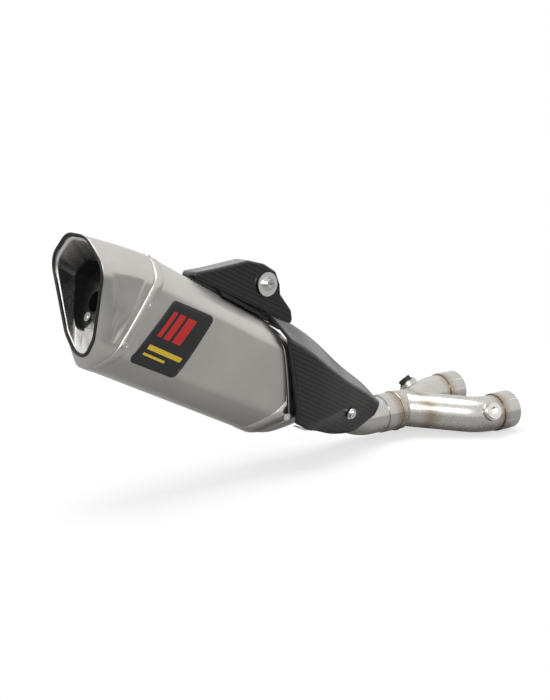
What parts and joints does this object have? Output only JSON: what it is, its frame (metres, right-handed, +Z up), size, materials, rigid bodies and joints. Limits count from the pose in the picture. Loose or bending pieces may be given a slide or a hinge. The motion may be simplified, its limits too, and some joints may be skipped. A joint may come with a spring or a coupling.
{
  "type": "racing exhaust system",
  "caption": "Motorcycle racing exhaust: link pipes joined in a Y, a hexagonal metal silencer with slanted outlet, and a carbon hanger bracket and heat shield.",
  "frame": {"origin": "centre of the outer inlet's mouth", "axes": "+X forward along the inlets, towards the engine; +Y inward to the machine; +Z up"},
  "size_m": [0.6441, 0.1618, 0.3283],
  "materials": {
    "titanium": "satin bead-blasted titanium sheet",
    "pipe_steel": "welded stainless pipe with heat tint",
    "weld": "weld bead",
    "black_steel": "black heat-proof coat",
    "polished": "polished inner funnel",
    "carbon": "twill carbon fibre in semi-gloss resin",
    "black_rubber": "matt black rubber",
    "bright_alu": "bright turned aluminium",
    "bright_steel": "bright fasteners",
    "graphite": "graphite ring",
    "wool": "glass and steel wool packing",
    "badge_black": null
  },
  "bodies": {
    "silencer": {"joint_socket": "pipe_steel", "inlet_bend": "pipe_steel", "inlet_pipe": "pipe_steel", "sleeve_body": "titanium", "rear_band": "titanium", "front_band": "titanium", "front_cone": "titanium", "cone_weld": "weld", "core_tube": "pipe_steel", "packing": "wool", "rear_plate": "pipe_steel", "front_plate": "pipe_steel", "end_cap": "titanium", "outlet_lip": "black_steel", "outlet_funnel": "polished", "throat_collar": "black_steel", "throat_plate": "black_steel", "rear_rivets": "bright_steel", "front_rivets": "bright_steel", "top_rivet": "bright_steel", "badge": "badge_black", "carbon_bracket": "carbon", "bracket_foot": "carbon", "bracket_pad": "black_rubber", "bracket_bosses": "titanium", "bracket_screws": "bright_steel", "hanger_grommet": "black_rubber", "hanger_collar": "bright_alu", "hanger_bolt": "bright_steel", "hanger_washer": "bright_steel", "heat_shield": "carbon", "shield_trim": "black_rubber", "shield_boss": "pipe_steel", "shield_washer": "bright_alu", "shield_bolt": "bright_steel", "shield_clip": "bright_steel"},
    "gasket": {"joint_gasket": "graphite"},
    "link_pipe": {"link_spigot": "pipe_steel", "outer_branch": "pipe_steel", "outer_bend": "pipe_steel", "inner_branch": "pipe_steel", "inner_bend": "pipe_steel", "sleeve_outer": "pipe_steel", "sleeve_inner": "pipe_steel", "boss_outer": "pipe_steel", "boss_inner": "pipe_steel", "plug_outer": "bright_steel", "plug_inner": "black_steel", "merge_weld": "weld"},
    "damper": {"noise_damper": "black_steel", "damper_screw": "bright_steel"}
  },
  "joints": [
    {"name": "joint_slide", "type": "slide", "parent": "silencer", "child": "gasket", "axis": [1, 0, 0], "range_m": [0, 0.025]},
    {"name": "joint_turn", "type": "hinge", "parent": "gasket", "child": "link_pipe", "pos_m": [-0.153, 0.068, 0.0085], "axis": [1, 0, 0], "range_deg": [-12, 12]},
    {"name": "damper_slide", "type": "slide", "parent": "silencer", "child": "damper", "axis": [-0.8829, 0, 0.4695], "range_m": [0, 0.1]}
  ]
}
